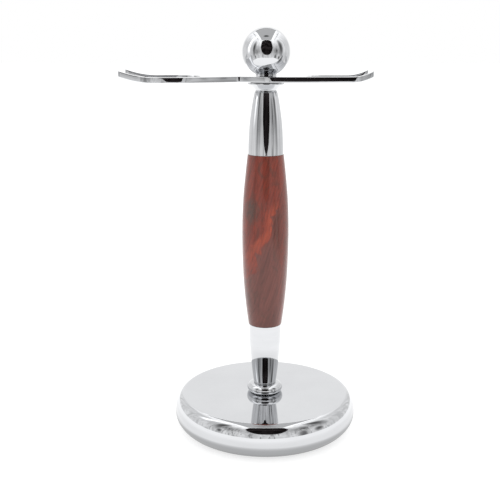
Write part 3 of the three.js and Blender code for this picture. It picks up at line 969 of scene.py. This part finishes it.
def emitter(name, strength, colour=(1, 1, 1)):
    """A glowing surface. The strength is a number or a function of a Shader."""
    s = Shader(name)
    glow = s.times(strength(s), CARD_GAIN) if callable(strength) else strength * CARD_GAIN
    emission = s.node("ShaderNodeEmission", {"Color": rgba(colour), "Strength": glow})
    s.links.new(emission.outputs["Emission"], s.output.inputs["Surface"])
    return s.material


def card(name, points, faces, material):
    """A stage card seen only in reflections."""
    mesh = bpy.data.meshes.new(name)
    mesh.from_pydata(points, [], faces)
    piece = bpy.data.objects.new(name, mesh)
    bpy.context.scene.collection.objects.link(piece)
    mesh.materials.append(material)
    piece.visible_camera = False
    piece.visible_diffuse = False
    piece.visible_shadow = False
    return piece


def flat_card(name, points, material):
    return card(name, points, [tuple(range(len(points)))], material)


def wall_shade(s, x, y, z):
    """How dark the wall is: grey beside the opening, folds near the floor, and single patches."""
    streaks = s.noise(s.stretched((1, 1.6, 0.18), (0.13, 0.1, 0.2)), 38, detail=3, distortion=1.2)
    front = s.level(y, 1.0, 0.0, -0.17, -0.02)
    grey_band = s.times(s.level(z, 0.0, 1.0, 0.07, 0.13), s.level(z, 1.0, 0.0, 0.17, 0.30))
    shade = s.times(s.times(grey_band, front), s.level(streaks, 0.35, 0.9, 0.38, 0.6))
    shade = s.times(shade, s.level(y, 0.45, 1.0, -0.27, -0.20))
    near_floor = s.level(z, 0.7, 0.0, 0.08, 0.15)
    folds = s.times(s.level(streaks, 0.0, 0.7, 0.56, 0.64), near_floor)
    folds = s.times(folds, s.level(y, 1.0, 0.0, -0.08, 0.0))
    dark = s.math("MAXIMUM", shade, folds)
    for centre, reach, depth in WALL_PATCHES:
        dark = s.math("MAXIMUM", dark, s.times(patch_of(s, (x, y, z), centre, reach), depth))
    return dark


def wall_glow(s):
    """White high up and at the back, shaded in front, with a bright slit in the left wall."""
    x, y, z = s.axes()
    waves = s.noise(s.stretched((1, 1.5, 0.4)), 22, detail=3, rough=0.5, distortion=1.0)
    lit = s.times(s.level(z, 0.68, 1.1, 0.26, 0.42), s.level(waves, 0.80, 1.16, 0.35, 0.65))
    slit = s.times(patch_of(s, (x, y), WALL_GAP["centre"], WALL_GAP["reach"]),
                   s.level(z, 0.0, WALL_GAP["glow"], *WALL_GAP["heights"]))
    lit = s.math("ADD", lit, slit)
    front_glow = s.times(lit, s.math("SUBTRACT", 1.0, wall_shade(s, x, y, z)))
    at_back = s.level(y, 0.0, 1.0, WALL_BACK["from"], WALL_BACK["to"])
    return s.math("ADD", s.times(front_glow, s.math("SUBTRACT", 1.0, at_back)),
                  s.times(at_back, WALL_BACK["glow"]))


def opening_outline():
    """Tall opening with a rounded sill and softly rounded upper corners."""
    o = OPENING
    low, high = [], []
    for i in range(o["steps"] + 1):
        share = -1 + 2 * i / o["steps"]
        x = o["centre"] + share * o["half_width"]
        low.append((x, o["y"], o["bottom"] + o["sill"] * abs(share) ** 3))
        high.append((x, o["y"], o["top"] - o["crown"] * abs(share) ** 3))
    return low + high[::-1]


def opening_glow(s):
    """Almost black, with faint variation."""
    return s.level(s.noise(s.place, 14, detail=3), 0.006, 0.03, 0.4, 0.7)


def tent_wall():
    points = [(x, y, z) for x, y in WALL_PATH for z in (0, CEILING)]
    faces = [(2 * i, 2 * i + 2, 2 * i + 3, 2 * i + 1) for i in range(len(WALL_PATH) - 1)]
    count = len(points)
    faces.append((0, 1, count - 1, count - 2))
    card("tent_wall", points, faces, emitter("wall_cloth", wall_glow))


def tent_ceiling():
    for name, (front_half, front), (back_half, back), drop, glow in CEILING_STRIPS:
        z = CEILING - drop
        flat_card(name, [(-front_half, front, z), (front_half, front, z), (back_half, back, z),
                         (-back_half, back, z)], emitter(name, glow))
    steps = PORT_SHAPE["steps"]
    for name, size, drop, glow in PORTS:
        wide, deep = PORT_SHAPE["wide"] * size, PORT_SHAPE["deep"] * size
        flat_card(name, [
            (wide * math.cos(a), PORT_SHAPE["y"] + deep * math.sin(a), CEILING - drop)
            for a in (2 * math.pi * k / steps for k in range(steps))], emitter(name, glow))


def wall_rods():
    rod = WALL_ROD
    for side, sign in (("left", -1), ("right", 1)):
        x = sign * rod["x"]
        flat_card("wall_rod_" + side, [
            (x, rod["front"], rod["bottom"]), (x, rod["back"], rod["bottom"]),
            (x, rod["back"], rod["top"]), (x, rod["front"], rod["top"])],
            emitter("wall_rod", rod["glow"]))


def light_tent():
    tent_wall()
    flat_card("tent_opening", opening_outline(),
              emitter("opening_dark", opening_glow, OPENING["tint"]))
    tent_ceiling()
    wall_rods()


def paper_glow_with_painted_shadow(s):
    """Bright paper with a painted shadow of the base, dark where the base stands on it."""
    distance = s.node("ShaderNodeVectorMath", {0: s.place}, operation="LENGTH").outputs["Value"]
    return s.ramp(s.level(distance, 0.0, 1.0, 0.0, BASE_SHADOW_REACH), [
        (0.21, (0.10, 0.10, 0.10)), (0.30, (0.45, 0.45, 0.45)), (0.40, (0.84, 0.84, 0.84)),
        (0.70, (0.97, 0.97, 0.97))], "EASE")


def seen_floor_material():
    s = Shader("floor_seen")
    speckle = s.noise(s.place, 300, detail=2)
    return s.principled(
        Base_Color=s.ramp(speckle, [(0.3, (0.60, 0.60, 0.60)), (0.7, (0.62, 0.62, 0.62))]),
        Roughness=0.9, Specular_IOR_Level=0.0, Emission_Color=(1.0, 1.0, 1.0),
        Emission_Strength=0.62)


def floors():
    """The floor that the camera sees, and the one that the metal mirrors."""
    reach = FLOOR_REACH
    corners = [(-reach, -reach, 0), (reach, -reach, 0), (reach, reach, 0), (-reach, reach, 0)]
    mesh = bpy.data.meshes.new("floor")
    mesh.from_pydata(corners, [], [(0, 1, 2, 3)])
    mesh.materials.append(seen_floor_material())
    seen = bpy.data.objects.new("floor", mesh)
    bpy.context.scene.collection.objects.link(seen)
    seen.location.z = -FLOOR_DROP
    seen.visible_glossy = False
    # the mirrored floor carries a painted shadow of the base
    mirrored = flat_card("floor_mirrored", corners, emitter("paper", paper_glow_with_painted_shadow))
    mirrored.location.z = -2 * FLOOR_DROP


def white_world():
    world = bpy.data.worlds.new("studio")
    world.use_nodes = True
    background = world.node_tree.nodes["Background"]
    background.inputs["Color"].default_value = (1, 1, 1, 1)
    background.inputs["Strength"].default_value = 1.0
    bpy.context.scene.world = world
    bpy.context.scene.view_settings.view_transform = "Standard"


# ---- Build -----------------------------------------------------------------------------------

make_camera()
base_shell_piece()
foot_pad_piece()
base_collar_piece()
lower_ferrule_piece()
wood_grip_piece()
upper_ferrule_piece()
cradle_seat_piece()
gasket_pieces()
cradle_piece()
finial_washer_piece()
ball_finial_piece()
tie_rod_piece()
carried_over("base_ballast", "hex_nut", "lock_washer", "flat_washer", "liner_tube", "finial_insert")
light_tent()
floors()
white_world()
